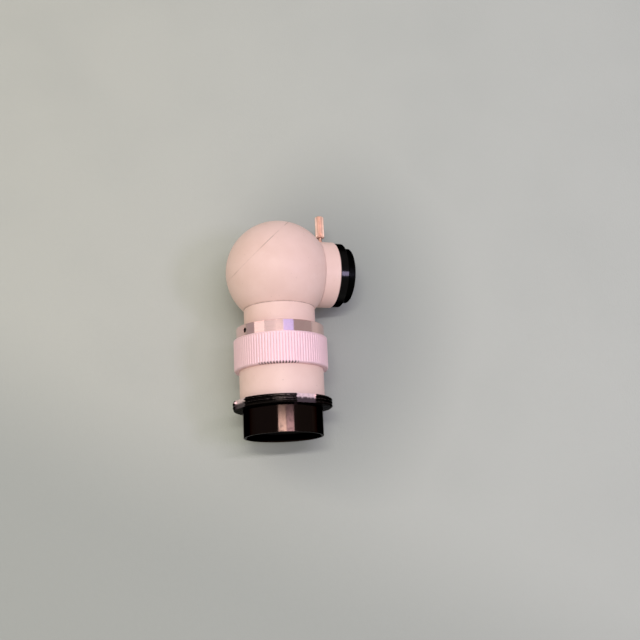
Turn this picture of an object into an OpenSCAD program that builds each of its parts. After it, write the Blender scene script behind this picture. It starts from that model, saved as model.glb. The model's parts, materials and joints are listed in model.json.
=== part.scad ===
// Right-angle optical head for a guide camera, in millimetres.
// A ball-shaped mirror housing, split at 45 degrees, carries a side port for the camera.
// Below it a knurled ring on the neck drives a telescoping tube with a threaded flange and a nosepiece.
// Each piece is modelled upright: Z runs up the tube from the flange's lower face, X along the side port.
// lying() then rolls it onto its ball and port ring, with the tube along Y and +Z up from the table.

/* [Ball housing] */
// Outer diameter of the ball
ball_d = 68; // [67:0.5:74]
// Wall of the ball and of its cap
ball_wall = 5; // [4:0.25:6]
// Distance of the 45 degree seam plane from the ball's centre
cap_offset = 18.5; // [17:0.25:20]
// Length of the cap's threaded spigot inside the ball
cap_spigot_len = 3; // [2:0.25:4]
// Diameter of the boss inside the cap that carries the mirror cell
cap_boss_d = 18; // [16:0.5:20]

/* [Mirror] */
// Diameter of the mirror's round ends
mirror_d = 46; // [42:0.5:48]
// Width of the mirror across its straight sides
mirror_w = 34; // [30:0.5:36]
// Thickness of the mirror
mirror_t = 4; // [3:0.25:5]
// Diameter of the mirror cell's plate
cell_d = 42; // [41:0.5:46]
// Thickness of the mirror cell's plate
cell_t = 3; // [2.5:0.25:4]
// Height of the hub behind the mirror cell's plate
cell_hub_h = 2; // [1:0.25:3]
// Thickness of the clips' lips over the mirror
clip_lip_t = 0.8; // [0.5:0.1:1.2]
// Reach of the clips' lips over the mirror
clip_lip_reach = 1.2; // [0.8:0.1:2]
// Width of each clip along the mirror's edge
clip_w = 8; // [6:0.5:10]
// Depth of each clip beside the mirror
clip_depth = 3.4; // [3.2:0.1:3.6]
// Thread diameter of the clips' screws
clip_screw_d = 1.6; // [1.4:0.1:1.8]
// Thread diameter of the mirror cell's screws
cell_screw_d = 2.5; // [2:0.1:3]
// Circle on which the mirror cell's screws stand
cell_screw_pcd = 11; // [10:0.5:12]

/* [Neck] */
// Outer diameter of the neck tube
neck_d = 46; // [44:0.5:46.5]
// Wall of the neck tube
neck_wall = 3.5; // [3.2:0.1:4]
// Length of neck that shows between the ball and the stop ring
neck_len = 13; // [10:0.5:18]
// Width of the shoulder on which the ball sits
neck_seat = 2.2; // [1.8:0.1:2.4]
// Length of the neck's spigot inside the ball
neck_spigot_len = 4.4; // [3:0.1:5]
// Thickness of the light baffle
baffle_t = 1.5; // [1:0.25:3]
// Aperture of the light baffle
baffle_hole_d = 33; // [30:0.5:36]

/* [Rings on the neck] */
// Diameter of the polished stop ring
stop_ring_d = 56.8; // [54:0.2:60]
// Width of the polished stop ring
stop_ring_w = 7.7; // [6:0.1:10]
// Bevel on the stop ring's edges
stop_ring_bevel = 0.3; // [0.1:0.1:0.6]
// Thread diameter of the stop ring's set screws
set_screw_d = 3; // [2:0.5:4]
// Length of each set screw
set_screw_len = 4; // [3:0.5:5]
// Diameter of the knurled focus ring over its knurls
focus_ring_d = 60.2; // [59.2:0.2:64]
// Width of the focus ring
focus_ring_w = 20; // [18:0.5:26]
// Pitch of the focus ring's knurl
knurl_pitch = 1.93; // [1.2:0.01:3]
// Depth of the focus ring's knurl
knurl_depth = 0.6; // [0.3:0.05:0.8]
// Width of the plain band at each end of the knurl
knurl_band = 0.8; // [0.4:0.1:2]
// Thickness of the focus ring's inner web
ring_web = 3; // [2:0.25:4]
// Thickness of each slip washer
washer_t = 0.5; // [0.3:0.1:1]
// Diameter of the slip washers and of the ring retainer
retainer_d = 51; // [49.5:0.25:52]
// Thickness of the ring retainer
retainer_t = 2.8; // [2:0.2:4]

/* [Focusing tube] */
// Outer diameter of the focusing tube
tube_d = 54; // [53:0.2:56]
// Length of the tube that shows between the flange and the focus ring
tube_show = 19.3; // [17:0.1:26]
// Travel of the tube to either side of its middle place
focus_travel = 4; // [2:0.5:5]
// Bore of the tube's lower end, which holds the lens cell
cell_bore_d = 42; // [41:0.5:44]
// Diameter of the tube's spigot inside the flange
tube_spigot_d = 50; // [48.5:0.5:51]
// Thread diameter of the guide screw
guide_screw_d = 3; // [2:0.25:4]
// Depth of the guide slot in the neck tube
guide_slot_depth = 1.6; // [1:0.1:2]
// Height of the guide screw above the flange
guide_screw_z = 15.5; // [14.5:0.5:17]

/* [Threaded flange] */
// Diameter over the flange's thread
flange_d = 63.4; // [60:0.2:70]
// Thickness of the flange
flange_t = 8.5; // [7:0.1:12]
// Pitch of the flange's thread
thread_pitch = 2; // [1:0.25:2.5]
// Depth of the flange's thread
thread_depth = 1.1; // [0.5:0.1:1.4]
// Width of each spanner notch
notch_w = 13.4; // [8:0.2:16]
// Depth of each spanner notch
notch_depth = 2; // [1.2:0.1:3]
// Height of the rim left under the notches
notch_floor_z = 2; // [1:0.25:4]
// Turn of the notches about the tube, from the side port
notch_turn = 12.5; // [0:0.5:45]

/* [Nosepiece] */
// Diameter of the nosepiece, a 2 inch barrel
nose_d = 50.8; // [50.2:0.1:51.4]
// Length of the nosepiece below the flange
nose_len = 14.5; // [12:0.5:30]
// Bore of the nosepiece
nose_bore_d = 44; // [43:0.5:45]
// Length of the nosepiece's spigot inside the flange
nose_spigot_len = 3; // [2:0.25:4]
// Diameter of the nosepiece's spigot
nose_spigot_d = 48; // [47:0.25:48.25]
// Diameter of the filter thread at the nosepiece's mouth
filter_d = 47.2; // [46.5:0.1:48]
// Length of the filter thread
filter_len = 5; // [3:0.5:7]
// Bevel on the nosepiece's rim
nose_bevel = 0.6; // [0.2:0.1:0.8]

/* [Lens group] */
// Diameter of both lenses
lens_d = 39; // [36:0.5:39.5]
// Radius of the lenses' curved faces
lens_curve_r = 80; // [60:5:160]
// Edge thickness of the crown lens
crown_edge = 2; // [1.5:0.25:3]
// Thickness of the flint lens at its edge
flint_edge = 3.9; // [3.8:0.1:4.4]
// Thickness of the ring between the lenses
spacer_t = 0.5; // [0.3:0.1:1]
// Width of the ledges on which the lenses and their rings bear
lens_ledge = 1.5; // [1:0.25:2.5]
// Thickness of the lens cell's front lip
cell_lip_t = 1; // [0.8:0.1:2]
// Thickness of the lens retaining ring
lens_ring_t = 1.4; // [1:0.1:2]

/* [Side port] */
// Diameter of the port's painted collar
collar_d = 43.6; // [42:0.2:45]
// Length of the collar outside the ball
collar_len = 10.7; // [9:0.1:16]
// Width of the shoulder with which the collar sits on the ball
collar_seat = 2.4; // [2.2:0.1:2.6]
// Length of the collar's spigot inside the ball
collar_spigot_len = 4.2; // [3:0.1:4.5]
// Bevel on the collar's outer edge
collar_bevel = 0.5; // [0.2:0.1:1]
// Diameter of the black ring that clamps the sleeve in the collar
port_ring_d = 42.4; // [40:0.2:44]
// Length of the black ring
port_ring_len = 5.7; // [4:0.1:8]
// Bevel on the black ring's edges
port_ring_bevel = 0.4; // [0.2:0.1:0.8]
// Outer diameter of the socket sleeve
sleeve_d = 36.4; // [35.6:0.2:36.8]
// Length of sleeve that stands out of the black ring
sleeve_show = 5.4; // [3:0.1:9]
// Bore of the socket, for a 31.75 mm barrel
socket_d = 31.8; // [31.4:0.05:32.2]
// Thickness of the sleeve's inner flange and of the socket's stop
sleeve_flange_t = 2; // [1.5:0.1:2.5]
// Width of the ledge that stops the barrel in the socket
socket_stop = 1.4; // [1:0.1:2.5]
// Bevel on the sleeve's outer edge
sleeve_bevel = 1; // [0.4:0.1:1.5]

/* [Lock screw] */
// Distance of the lock screw from the ball's centre along the port
lock_p = 30.3; // [29.8:0.1:32]
// Thread diameter of the lock screw
lock_d = 2.5; // [2:0.1:3]
// Height of bare screw between the collar and the screw's head
lock_gap = 3.6; // [2.5:0.1:6]
// Diameter of the lock screw's head
lock_head_d = 5.9; // [5:0.1:6.6]
// Length of the lock screw's head
lock_head_len = 15.2; // [10:0.1:20]
// Ribs round the lock screw's head
lock_ribs = 22; // [16:1:30]
// Depth of the grooves between the head's ribs
lock_rib_depth = 0.35; // [0.2:0.05:0.5]
// Length of the brass tip under the lock screw
lock_tip_len = 2; // [1:0.1:3]
// Distance at which the tip stands back from the socket's bore
lock_setback = 0.1; // [0.05:0.05:0.5]

/* [Fits] */
// Radial clearance of pieces that turn or slide on each other
run_gap = 0.05; // [0.02:0.01:0.1]
// Clearance between a moving piece's faces and its stops
face_gap = 0.1; // [0.05:0.05:0.3]
// Clearance left at the ends of the focusing travel
travel_gap = 0.4; // [0.2:0.1:1]

/* [Hidden] */
$fn = 96;
lens_fn = 320;
cut = 1;

cap_step = 0.3;
cap_poles = [90, 150, 0];
// Length by which solids of one piece run into each other
join = 0.5;
// Clear depth left under a screw's end
screw_end_gap = 0.5;

ball_r = ball_d / 2;
cavity_r = ball_r - ball_wall;
neck_r = neck_d / 2;
neck_bore_r = neck_r - neck_wall;
neck_spigot_r = neck_r - neck_seat;
collar_r = collar_d / 2;
collar_spigot_r = collar_r - collar_seat;
sleeve_r = sleeve_d / 2;
socket_r = socket_d / 2;
tube_r = tube_d / 2;
retainer_r = retainer_d / 2;

// Distances from the ball's centre of its flat seats for the neck and the collar
neck_land = sqrt(ball_r * ball_r - neck_r * neck_r);
port_land = sqrt(ball_r * ball_r - collar_r * collar_r);
// The cap's spigot fills the ball's mouth down to where the cavity is as wide
cap_spigot_r = sqrt(cavity_r * cavity_r - pow(cap_offset - cap_spigot_len, 2));
cap_mouth_r = sqrt(cavity_r * cavity_r - cap_offset * cap_offset) - cap_step;

// Heights up the tube
focus_ring_z = flange_t + tube_show;
stop_ring_z = focus_ring_z + focus_ring_w;
neck_z = stop_ring_z + stop_ring_w;
neck_top_z = neck_z + neck_len;
ball_z = neck_top_z + neck_land;
web_top_z = stop_ring_z - washer_t - face_gap / 2;
web_z = web_top_z - ring_web;
washer_low_z = web_z - face_gap / 2 - washer_t;
retainer_z = washer_low_z - retainer_t;
tube_top_z = retainer_z - travel_gap - focus_travel;

// Stations of the lens group, from its front lip up
lens_r = lens_d / 2;
spacer_w = 0.5;
lens_sag = sag(lens_r);
lip_z = nose_spigot_len + cell_lip_t;
crown_z = lip_z + lens_sag - sag(lens_r - lens_ledge);
crown_top_z = crown_z + crown_edge;
spacer_z = crown_top_z + lens_sag - sag(lens_r - spacer_w);
flint_z = spacer_z + spacer_t;
lens_ring_z = flint_z + flint_edge;
lens_cell_top_z = lens_ring_z + lens_ring_t;
lens_cell_gap = 0.2;
tube_shoulder_z = lens_cell_top_z + lens_cell_gap;
neck_foot_z = tube_shoulder_z + focus_travel + travel_gap;

// Stations along the port, from the ball's centre out
collar_end = port_land + collar_len;
port_ring_end = collar_end + port_ring_len;
sleeve_end = port_ring_end + sleeve_show;
collar_in = port_land - collar_spigot_len;
sleeve_in = collar_in - sleeve_flange_t;

// Roll at which the ball and the black port ring both touch the table
rest_roll = asin(ball_r / norm([port_ring_end, port_ring_d / 2])) - atan2(port_ring_d / 2, port_ring_end);

// Heads and sockets of the screws, as shares of their thread's diameter
socket_head_ratio = 1.8;
pan_head_ratio = 1.9;
head_height_ratio = 0.5;
cap_hex_ratio = 0.8;
set_hex_ratio = 0.5;
// Width across a hexagon's corners for each unit across its flats
hex_corners = 2 / sqrt(3);

// Heights of the mirror's pieces behind its reflecting face
cell_back = mirror_t + cell_t;
boss_front = cell_back + cell_hub_h;
cell_screw_head_d = socket_head_ratio * cell_screw_d;
cell_screw_head_t = head_height_ratio * cell_screw_d;
cell_screw_len = 8;
cell_screw_sink = 0.2;
cell_screw_end = mirror_t + cell_screw_len;
cell_hex_depth = 0.9;
clip_screw_y = mirror_w / 2 + clip_depth / 2;
clip_screw_head_d = pan_head_ratio * clip_screw_d;
clip_screw_head_t = head_height_ratio * clip_screw_d;
clip_hole_end = mirror_t + 0.8 * cell_t;
clip_screw_end = mirror_t + 0.7 * cell_t;

set_screw_turns = [-158, 22];
set_screw_sink = 1.4;
set_screw_z = stop_ring_z + stop_ring_w / 2;
set_hex_depth = 1.6;
guide_turn = 90;
guide_head_d = socket_head_ratio * guide_screw_d;
guide_head_t = head_height_ratio * guide_screw_d;
guide_head_sink = 0.2;
guide_slot_gap = 0.3;
driver_slot_w = 0.7;
driver_slot_t = 0.6;
knurl_root = 0.1;
// Part of each thread pitch at which its flat crest starts and ends
crest_start = 0.42;
crest_end = 0.58;
sleeve_flange_relief = 0.2;
baffle_z = neck_z - baffle_t;
lock_rest = socket_r + lock_setback;

// Depth of a lens's curved face at a distance from its axis
function sag(r) = lens_curve_r - sqrt(lens_curve_r * lens_curve_r - r * r);

module lying() rotate([0, rest_roll, 0]) rotate([-90, 0, 0]) children();

// Origin at the ball's centre, with Z along the side port
module at_port() translate([0, 0, ball_z]) rotate([0, 90, 0]) children();

// Origin at the ball's centre, with Z through the middle of the cap
module at_cap() translate([0, 0, ball_z]) rotate([0, -45, 0]) children();

// Z along the lock screw, from the port's axis out
module at_lock() translate([lock_p, 0, ball_z]) children();

// Z pointing radially away from the tube's axis, at a height and a turn
module at_side(turn, z) translate([0, 0, z]) rotate([0, 0, turn]) rotate([0, 90, 0]) children();

module rod(r, z0, z1) translate([0, 0, z0]) cylinder(r = r, h = z1 - z0);

// Sphere about the ball's centre, turned where its poles have to stay clear of the shell
module ball_sphere(r, turn = [0, 0, 0]) translate([0, 0, ball_z]) rotate(turn) sphere(r = r);

module pipe(r_out, r_in, z0, z1) {
    difference() {
        rod(r_out, z0, z1);
        rod(r_in, z0 - cut, z1 + cut);
    }
}

// Pipe with a bevel on its outer edges, one width at its foot and one at its top
module bevelled_pipe(r_out, r_in, z0, z1, foot, top) {
    rotate_extrude()
        polygon([
            [r_in, z0], [r_out - foot, z0], [r_out, z0 + foot],
            [r_out, z1 - top], [r_out - top, z1], [r_in, z1]
        ]);
}

module hex_socket(across_flats, depth) cylinder(d = across_flats * hex_corners, h = depth, $fn = 6);

// Outline of a straight knurl
module knurl_outline(r, depth, count) {
    step = 360 / count;
    polygon([
        for (i = [0:count - 1], half = [0, 1])
            let (rad = half == 0 ? r : r - depth, a = (i + half / 2) * step)
                [rad * cos(a), rad * sin(a)]
    ]);
}

// ---- Ball housing ----

module ball_body() {
    color("antiquewhite") lying() difference() {
        ball_sphere(ball_r);
        ball_sphere(cavity_r);
        at_cap() rod(ball_d, cap_offset, ball_d);
        at_cap() rod(cap_spigot_r, cap_offset - 2 * cap_spigot_len, cap_offset + cut);
        rod(ball_d, neck_top_z - ball_r, neck_top_z);
        rod(neck_spigot_r, neck_top_z - cut, ball_z);
        at_port() rod(ball_d, port_land, ball_d);
        at_port() rod(collar_spigot_r, 0, port_land + cut);
    }
}

module ball_cap() {
    color("antiquewhite") lying() difference() {
        union() {
            difference() {
                intersection() {
                    ball_sphere(ball_r, cap_poles);
                    at_cap() rod(ball_d, cap_offset, ball_d);
                }
                ball_sphere(cavity_r, cap_poles);
            }
            at_cap() pipe(cap_spigot_r, cap_mouth_r, cap_offset - cap_spigot_len, cap_offset + join);
            at_cap() rod(cap_boss_d / 2, boss_front, ball_r - ball_wall / 2);
        }
        at_cap() cell_screw_places() rod(cell_screw_d / 2, boss_front - cut, cell_screw_end + screw_end_gap);
    }
}

module cell_screw_places() {
    for (turn = [0, 120, 240]) rotate([0, 0, turn]) translate([cell_screw_pcd / 2, 0, 0]) children();
}

module mirror_cell() {
    color("dimgray") lying() at_cap() difference() {
        union() {
            rod(cell_d / 2, mirror_t, cell_back);
            rod(cap_boss_d / 2, cell_back - join, boss_front);
        }
        cell_screw_places() {
            rod(cell_screw_d / 2, mirror_t - cut, boss_front + cut);
            rod(cell_screw_head_d / 2, mirror_t - cut, mirror_t + cell_screw_head_t);
        }
        clip_places() translate([0, clip_screw_y, 0])
            rod(clip_screw_d / 2, mirror_t - cut, clip_hole_end);
    }
}

module cell_screws() {
    color("silver") lying() at_cap() cell_screw_places() difference() {
        union() {
            rod(cell_screw_head_d / 2, mirror_t + cell_screw_sink, mirror_t + cell_screw_head_t);
            rod(cell_screw_d / 2, mirror_t + cell_screw_head_t - join, cell_screw_end);
        }
        translate([0, 0, mirror_t]) hex_socket(cap_hex_ratio * cell_screw_d, cell_hex_depth);
    }
}

module mirror() {
    color("lightsteelblue") lying() at_cap() intersection() {
        rod(mirror_d / 2, 0, mirror_t);
        translate([-mirror_d, -mirror_w / 2, -cut]) cube([2 * mirror_d, mirror_w, mirror_t + 2 * cut]);
    }
}

module clip_places() {
    for (turn = [0, 180]) rotate([0, 0, turn]) children();
}

module mirror_clips() {
    color("darkslategray") lying() at_cap() clip_places() difference() {
        translate([-clip_w / 2, 0, 0]) union() {
            translate([0, mirror_w / 2, -clip_lip_t]) cube([clip_w, clip_depth, mirror_t + clip_lip_t]);
            translate([0, mirror_w / 2 - clip_lip_reach, -clip_lip_t])
                cube([clip_w, clip_lip_reach + join, clip_lip_t]);
        }
        translate([0, clip_screw_y, 0]) rod(clip_screw_d / 2, -clip_lip_t - cut, mirror_t + cut);
    }
}

module clip_screws() {
    color("silver") lying() at_cap() clip_places() translate([0, clip_screw_y, 0]) {
        rod(clip_screw_head_d / 2, -clip_lip_t - clip_screw_head_t, -clip_lip_t);
        rod(clip_screw_d / 2, -clip_lip_t - clip_screw_head_t / 2, clip_screw_end);
    }
}

// ---- Neck and its rings ----

module neck_tube() {
    slot_r = guide_screw_d / 2 + run_gap;
    slot_half = focus_travel + guide_slot_gap;
    slot_z = flange_t + guide_screw_z;
    color("antiquewhite") lying() difference() {
        union() {
            rod(neck_r, neck_foot_z, neck_top_z);
            rod(neck_spigot_r, neck_top_z - cut, neck_top_z + neck_spigot_len);
        }
        rod(neck_bore_r, neck_foot_z - cut, ball_z);
        for (end = [-slot_half, slot_half])
            at_side(guide_turn, slot_z + end) rod(slot_r, neck_r - guide_slot_depth, neck_r + cut);
        at_side(guide_turn, slot_z)
            translate([-slot_half, -slot_r, neck_r - guide_slot_depth])
                cube([2 * slot_half, 2 * slot_r, guide_slot_depth + cut]);
    }
}

module light_baffle() {
    color("dimgray") lying() pipe(neck_bore_r, baffle_hole_d / 2, baffle_z, baffle_z + baffle_t);
}

module stop_ring() {
    color("gainsboro") lying() difference() {
        bevelled_pipe(stop_ring_d / 2, neck_r, stop_ring_z, neck_z, stop_ring_bevel, stop_ring_bevel);
        for (turn = set_screw_turns)
            at_side(turn, set_screw_z) rod(set_screw_d / 2, neck_r - cut, stop_ring_d);
    }
}

module stop_ring_screws() {
    outer = stop_ring_d / 2 - set_screw_sink;
    color("dimgray") lying() for (turn = set_screw_turns) at_side(turn, set_screw_z) difference() {
        rod(set_screw_d / 2, max(neck_r, outer - set_screw_len), outer);
        translate([0, 0, outer - set_hex_depth]) hex_socket(set_hex_ratio * set_screw_d, set_hex_depth + cut);
    }
}

module slip_washer_upper() {
    color("white") lying() pipe(retainer_r, neck_r, stop_ring_z - washer_t, stop_ring_z);
}

module slip_washer_lower() {
    color("white") lying() pipe(retainer_r, neck_r, washer_low_z, washer_low_z + washer_t);
}

module ring_retainer() {
    color("dimgray") lying() pipe(retainer_r, neck_r, retainer_z, retainer_z + retainer_t);
}

module focus_ring() {
    outer = focus_ring_d / 2;
    top = stop_ring_z - face_gap;
    ribs = floor(PI * focus_ring_d / knurl_pitch);
    color("silver") lying() difference() {
        union() {
            rod(outer - knurl_depth + knurl_root, focus_ring_z, top);
            translate([0, 0, focus_ring_z + knurl_band])
                linear_extrude(top - focus_ring_z - 2 * knurl_band) knurl_outline(outer, knurl_depth, ribs);
        }
        rod(tube_r + run_gap, focus_ring_z - cut, web_z);
        rod(neck_r + run_gap, focus_ring_z, stop_ring_z + cut);
        rod(retainer_r + run_gap, web_top_z, stop_ring_z + cut);
    }
}

// ---- Focusing tube, flange and nosepiece ----

module focus_tube() {
    color("antiquewhite") lying() difference() {
        union() {
            rod(tube_r, flange_t, tube_top_z);
            rod(tube_spigot_d / 2, nose_spigot_len, flange_t + cut);
        }
        rod(cell_bore_d / 2, nose_spigot_len - cut, tube_shoulder_z + cut);
        rod(neck_r + run_gap, tube_shoulder_z, tube_top_z + cut);
        at_side(guide_turn, flange_t + guide_screw_z) {
            rod(guide_screw_d / 2, neck_r - cut, tube_r + cut);
            rod(guide_head_d / 2, tube_r - guide_head_t, tube_r + cut);
        }
    }
}

module guide_screw() {
    head_top = tube_r - guide_head_sink;
    color("silver") lying() at_side(guide_turn, flange_t + guide_screw_z) difference() {
        union() {
            rod(guide_head_d / 2, tube_r - guide_head_t, head_top);
            rod(guide_screw_d / 2, neck_r - guide_slot_depth + guide_slot_gap, tube_r - guide_head_t + join);
        }
        translate([-guide_head_d, -driver_slot_w / 2, head_top - driver_slot_t])
            cube([2 * guide_head_d, driver_slot_w, driver_slot_t + cut]);
    }
}

module thread_flange() {
    crest = flange_d / 2;
    turns = floor(flange_t / thread_pitch);
    lead_in = (flange_t - turns * thread_pitch) / 2;
    color("black") lying() difference() {
        rotate_extrude()
            polygon([
                [nose_spigot_d / 2, 0], [crest - thread_depth, 0],
                for (i = [0:turns - 1], tooth = [[0, 0], [crest_start, 1], [crest_end, 1], [1, 0]])
                    if (i == 0 || tooth[0] > 0)
                        [crest - thread_depth * (1 - tooth[1]), lead_in + (i + tooth[0]) * thread_pitch],
                [crest - thread_depth, flange_t], [nose_spigot_d / 2, flange_t]
            ]);
        rod(tube_spigot_d / 2, nose_spigot_len, flange_t + cut);
        for (quarter = [0:3])
            rotate([0, 0, notch_turn + 90 * quarter])
                translate([crest - notch_depth, -notch_w / 2, notch_floor_z])
                    cube([notch_depth + cut, notch_w, flange_t]);
    }
}

module nosepiece() {
    outer = nose_d / 2;
    mouth = -nose_len;
    color("black") lying()
        rotate_extrude()
            polygon([
                [nose_bore_d / 2, mouth + filter_len], [filter_d / 2, mouth + filter_len],
                [filter_d / 2, mouth], [outer - nose_bevel, mouth], [outer, mouth + nose_bevel],
                [outer, 0], [nose_spigot_d / 2, 0],
                [nose_spigot_d / 2, nose_spigot_len], [nose_bore_d / 2, nose_spigot_len]
            ]);
}

// ---- Lens group ----

module lens_cell() {
    color("dimgray") lying() difference() {
        rod(cell_bore_d / 2, nose_spigot_len, lens_cell_top_z);
        rod(lens_r - lens_ledge, nose_spigot_len - cut, lens_cell_top_z);
        rod(lens_r, lip_z, lens_cell_top_z + cut);
    }
}

module lens_crown() {
    color("lightcyan") lying() intersection() {
        rod(lens_r, crown_z - lens_sag - cut, crown_top_z + lens_sag + cut);
        translate([0, 0, crown_z - lens_sag + lens_curve_r]) sphere(r = lens_curve_r, $fn = lens_fn);
        translate([0, 0, crown_top_z + lens_sag - lens_curve_r]) sphere(r = lens_curve_r, $fn = lens_fn);
    }
}

module lens_spacer() {
    color("dimgray") lying() pipe(lens_r, lens_r - spacer_w, spacer_z, spacer_z + spacer_t);
}

module lens_flint() {
    color("lightcyan") lying() difference() {
        rod(lens_r, flint_z, lens_ring_z);
        translate([0, 0, flint_z + lens_sag - lens_curve_r]) sphere(r = lens_curve_r, $fn = lens_fn);
    }
}

module lens_ring() {
    color("dimgray") lying() pipe(lens_r, lens_r - lens_ledge, lens_ring_z, lens_ring_z + lens_ring_t);
}

// ---- Side port ----

module port_collar() {
    color("antiquewhite") lying() difference() {
        at_port() union() {
            bevelled_pipe(collar_r, sleeve_r, port_land, collar_end, 0, collar_bevel);
            pipe(collar_spigot_r, sleeve_r, collar_in, port_land + join);
        }
        at_lock() rod(lock_d / 2 + run_gap, socket_r, ball_r);
    }
}

module port_lock_ring() {
    color("black") lying() at_port()
        bevelled_pipe(port_ring_d / 2, sleeve_r, collar_end, port_ring_end, port_ring_bevel, port_ring_bevel);
}

module socket_sleeve() {
    color("black") lying() difference() {
        at_port() difference() {
            union() {
                bevelled_pipe(sleeve_r, socket_r - socket_stop, sleeve_in, sleeve_end, 0, sleeve_bevel);
                rod(collar_spigot_r - sleeve_flange_relief, sleeve_in, collar_in);
            }
            rod(socket_r - socket_stop, sleeve_in - cut, collar_in + cut);
            rod(socket_r, collar_in, sleeve_end + cut);
        }
        at_lock() rod(lock_d / 2 + run_gap, 0, collar_r);
    }
}

module lock_screw() {
    head_z = collar_r + lock_gap;
    color("silver") lying() at_lock() {
        rod(lock_d / 2, lock_rest + lock_tip_len, head_z + cut);
        translate([0, 0, head_z])
            linear_extrude(lock_head_len) knurl_outline(lock_head_d / 2, lock_rib_depth, lock_ribs);
    }
}

module lock_tip() {
    color("goldenrod") lying() at_lock() rod(lock_d / 2, lock_rest, lock_rest + lock_tip_len);
}

ball_body();
ball_cap();
mirror_cell();
cell_screws();
mirror();
mirror_clips();
clip_screws();
neck_tube();
light_baffle();
stop_ring();
stop_ring_screws();
slip_washer_upper();
slip_washer_lower();
ring_retainer();
focus_ring();
focus_tube();
guide_screw();
thread_flange();
nosepiece();
lens_cell();
lens_crown();
lens_spacer();
lens_flint();
lens_ring();
port_collar();
port_lock_ring();
socket_sleeve();
lock_screw();
lock_tip();
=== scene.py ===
"""Looks of a right-angle guide camera head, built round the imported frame. Lengths are in metres."""

import json
import math

import bmesh
import bpy
from mathutils import Matrix, Vector


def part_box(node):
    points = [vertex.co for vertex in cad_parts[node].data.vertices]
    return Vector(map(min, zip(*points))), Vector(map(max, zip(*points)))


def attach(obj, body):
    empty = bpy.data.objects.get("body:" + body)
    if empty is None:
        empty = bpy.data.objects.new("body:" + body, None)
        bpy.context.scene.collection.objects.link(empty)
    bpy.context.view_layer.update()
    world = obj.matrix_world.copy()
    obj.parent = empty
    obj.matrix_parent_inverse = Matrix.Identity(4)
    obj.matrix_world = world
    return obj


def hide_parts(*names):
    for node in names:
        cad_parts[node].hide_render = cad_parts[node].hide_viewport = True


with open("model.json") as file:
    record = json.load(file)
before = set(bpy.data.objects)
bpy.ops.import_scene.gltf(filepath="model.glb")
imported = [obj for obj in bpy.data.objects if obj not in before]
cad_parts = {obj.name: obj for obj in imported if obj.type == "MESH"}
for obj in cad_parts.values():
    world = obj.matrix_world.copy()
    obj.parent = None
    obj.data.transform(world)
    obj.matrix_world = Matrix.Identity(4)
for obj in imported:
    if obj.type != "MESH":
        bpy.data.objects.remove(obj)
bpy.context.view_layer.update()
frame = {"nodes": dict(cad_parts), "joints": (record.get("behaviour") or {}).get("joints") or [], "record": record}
record = frame["record"]

MM = 0.001
FULL_TURN = 2 * math.pi
ROUND_SEGMENTS = 192

# Stations closer than SAME count as one; NEARLY is the slack where a wall is looked for or cleared.
SAME = 0.01 * MM
NEARLY = 0.05 * MM


# ---- Lines that the pieces are turned about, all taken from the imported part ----


class Line:
    """A line with a direction from which angles about it count."""

    def __init__(self, origin, along, zero):
        self.origin = Vector(origin)
        self.along = Vector(along).normalized()
        zero = Vector(zero)
        self.zero = (zero - self.along * self.along.dot(zero)).normalized()
        self.side = self.along.cross(self.zero)

    def point(self, station, radius, angle):
        across = self.zero * math.cos(angle) + self.side * math.sin(angle)
        return self.origin + self.along * station + across * radius

    def places(self, node):
        """(station, radius) of every corner of a CAD node's mesh."""
        found = []
        for vertex in frame["nodes"][node].data.vertices:
            offset = vertex.co - self.origin
            station = offset.dot(self.along)
            found.append((station, (offset - self.along * station).length))
        return found

    def span(self, node):
        """Lowest and highest station of a CAD node."""
        stations = [station for station, radius in self.places(node)]
        return min(stations), max(stations)

    def radii(self, node, station=None):
        """Smallest and largest radius of a CAD node, at one station or anywhere."""
        kept = [r for t, r in self.places(node) if station is None or abs(t - station) < SAME]
        return min(kept), max(kept)


def mount(name):
    return next(m for m in record["mounts"] if m["name"] == name)


def joint(name):
    return next(j for j in frame["joints"] if j["name"] == name)


socket = mount("camera_socket")
UP_TUBE = Vector((0, 1, 0))
OUT_PORT = Vector(socket["axis"])
BALL_CENTRE = Vector((0, socket["pos_m"][1], 0))
TUBE = Line((0, 0, 0), UP_TUBE, OUT_PORT)
PORT = Line(BALL_CENTRE, OUT_PORT, UP_TUBE)
CAP = Line(BALL_CENTRE, UP_TUBE - OUT_PORT, UP_TUBE + OUT_PORT)
screw_place = Vector(joint("lock_screw_turn")["pos_m"])
SCREW = Line((screw_place.x, BALL_CENTRE.y, screw_place.z), UP_TUBE, OUT_PORT)
BALL_R = -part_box("ball_body")[0].z
BALL_WALL = 5 * MM
CAVITY_R = BALL_R - BALL_WALL
SEAM = CAP.span("ball_body")[1]
ball_corners = [vertex.co for vertex in frame["nodes"]["ball_body"].data.vertices]
NECK_TOP = min(corner.y for corner in ball_corners)
PORT_LAND = max((corner - BALL_CENTRE).dot(OUT_PORT) for corner in ball_corners)


# ---- Mesh helpers ----


def around(segments):
    """Angles that go once round in equal steps, with both ends."""
    return [FULL_TURN * i / segments for i in range(segments + 1)]


MOST_OF_SIDE = 0.49


def rounded(corners, steps=4):
    """Closed profile through (station, radius, fillet) corners, with an arc at each fillet."""
    profile = []
    for i, (station, radius, fillet) in enumerate(corners):
        here = Vector((station, radius))
        if fillet <= 0:
            profile.append(here)
            continue
        back = Vector(corners[i - 1][:2]) - here
        ahead = Vector(corners[(i + 1) % len(corners)][:2]) - here
        half = back.angle(ahead) / 2
        room = MOST_OF_SIDE * min(back.length, ahead.length)
        reach = min(fillet / math.tan(half), room)
        start = back.normalized() * reach
        end = ahead.normalized() * reach
        middle = (start + end).normalized() * (reach / math.cos(half))
        swing = (start - middle).angle(end - middle)
        for step in range(steps + 1):
            turn = swing * step / steps
            arm = (start - middle) * math.sin(swing - turn) + (end - middle) * math.sin(turn)
            profile.append(here + middle + arm / math.sin(swing))
    return [(p.x, p.y) for p in profile]


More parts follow.
